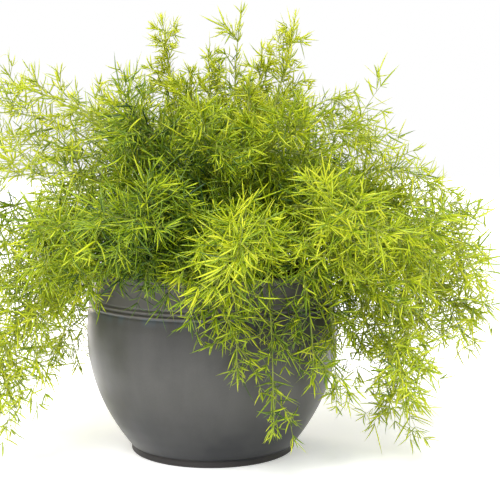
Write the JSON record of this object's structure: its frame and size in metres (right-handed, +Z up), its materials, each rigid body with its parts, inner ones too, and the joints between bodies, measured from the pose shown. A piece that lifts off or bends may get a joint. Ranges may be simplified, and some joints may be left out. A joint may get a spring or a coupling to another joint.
{
  "type": "potted asparagus fern",
  "caption": "Asparagus fern with thin arching fronds of fine needle-like leaves, growing in a round dark grey glazed ceramic pot with a raised ridge below its rim.",
  "frame": {"origin": "centre of the pot's foot, on the surface that the pot stands on", "axes": "+Z up, -Y towards the front, +X to the right as seen from the front"},
  "size_m": [0.6022, 0.5307, 0.4821],
  "materials": {
    "glaze": "semi-gloss dark grey glaze, slightly mottled",
    "potting_soil": "crumbly dark brown potting soil, matte",
    "crown": "fibrous brown root crown, matte",
    "foliage": "live yellow-green stems and leaves, soft sheen"
  },
  "bodies": {
    "root": {"pot": "glaze", "soil": "potting_soil", "root_crown": "crown", "frond_01": "foliage", "frond_02": "foliage", "frond_03": "foliage", "frond_04": "foliage", "frond_05": "foliage", "frond_06": "foliage", "frond_07": "foliage", "frond_08": "foliage", "frond_09": "foliage", "frond_10": "foliage", "frond_11": "foliage", "frond_12": "foliage", "frond_13": "foliage", "frond_14": "foliage", "frond_15": "foliage", "frond_16": "foliage", "frond_17": "foliage", "frond_18": "foliage", "frond_19": "foliage", "frond_20": "foliage", "frond_21": "foliage", "frond_22": "foliage", "frond_23": "foliage", "frond_24": "foliage", "frond_25": "foliage", "frond_26": "foliage", "frond_27": "foliage", "frond_28": "foliage", "frond_29": "foliage", "frond_30": "foliage", "frond_31": "foliage", "frond_32": "foliage", "frond_33": "foliage", "frond_34": "foliage", "frond_35": "foliage", "frond_36": "foliage", "frond_37": "foliage", "frond_38": "foliage", "frond_39": "foliage", "frond_40": "foliage", "frond_41": "foliage", "frond_42": "foliage", "frond_43": "foliage", "frond_44": "foliage", "frond_45": "foliage", "frond_46": "foliage", "frond_47": "foliage", "frond_48": "foliage", "frond_49": "foliage", "frond_50": "foliage", "frond_51": "foliage", "frond_52": "foliage", "frond_53": "foliage", "frond_54": "foliage", "frond_55": "foliage", "frond_56": "foliage", "frond_57": "foliage"}
  },
  "joints": []
}
